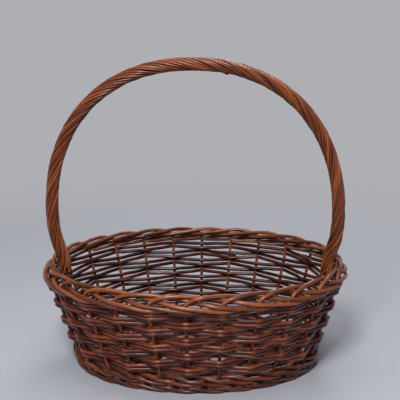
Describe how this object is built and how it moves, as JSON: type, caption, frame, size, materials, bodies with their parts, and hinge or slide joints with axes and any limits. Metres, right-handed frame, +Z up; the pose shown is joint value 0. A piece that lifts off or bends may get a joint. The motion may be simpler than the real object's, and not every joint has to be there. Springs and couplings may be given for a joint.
{
  "type": "oval willow basket with fixed bow handle",
  "caption": "Low oval basket woven of dark stained willow rods, opening out to a rolled border, with a tall roped bow handle over its length.",
  "frame": {"origin": "on the floor plane, under the centre of the oval", "axes": "+X along the oval's long axis and the handle's plane, -Y towards the front, +Z up"},
  "size_m": [0.4456, 0.3394, 0.4486],
  "materials": {
    "stake": "stained and varnished willow, reddish brown",
    "row": "stained and varnished willow, dark purple brown",
    "wale": "stained and varnished willow, brown",
    "base": "stained willow, dark brown",
    "handle": "stained and varnished willow, orange brown"
  },
  "bodies": {
    "root": {"base_stick_long_01": "base", "base_stick_long_02": "base", "base_stick_cross_01": "base", "base_stick_cross_02": "base", "base_stick_cross_03": "base", "base_stick_cross_04": "base", "base_weave_01": "base", "base_weave_02": "base", "stake_01": "stake", "stake_02": "stake", "stake_03": "stake", "stake_04": "stake", "stake_05": "stake", "stake_06": "stake", "stake_07": "stake", "stake_08": "stake", "stake_09": "stake", "stake_10": "stake", "stake_11": "stake", "stake_12": "stake", "stake_13": "stake", "stake_14": "stake", "stake_15": "stake", "stake_16": "stake", "stake_17": "stake", "stake_18": "stake", "stake_19": "stake", "stake_20": "stake", "stake_21": "stake", "stake_22": "stake", "stake_23": "stake", "stake_24": "stake", "row_01": "row", "row_02": "row", "row_03": "row", "row_04": "row", "row_05": "row", "row_06": "row", "row_07": "row", "row_08": "row", "wale_rod_01": "wale", "wale_rod_02": "wale", "wale_rod_03": "wale", "wale_rod_04": "wale", "wale_rod_05": "wale", "wale_rod_06": "wale", "handle_core": "handle", "handle_strand_01": "handle", "handle_strand_02": "handle", "handle_strand_03": "handle", "handle_strand_04": "handle", "handle_strand_05": "handle", "handle_strand_06": "handle", "handle_strand_07": "handle", "handle_strand_08": "handle", "handle_strand_09": "handle"}
  },
  "joints": []
}
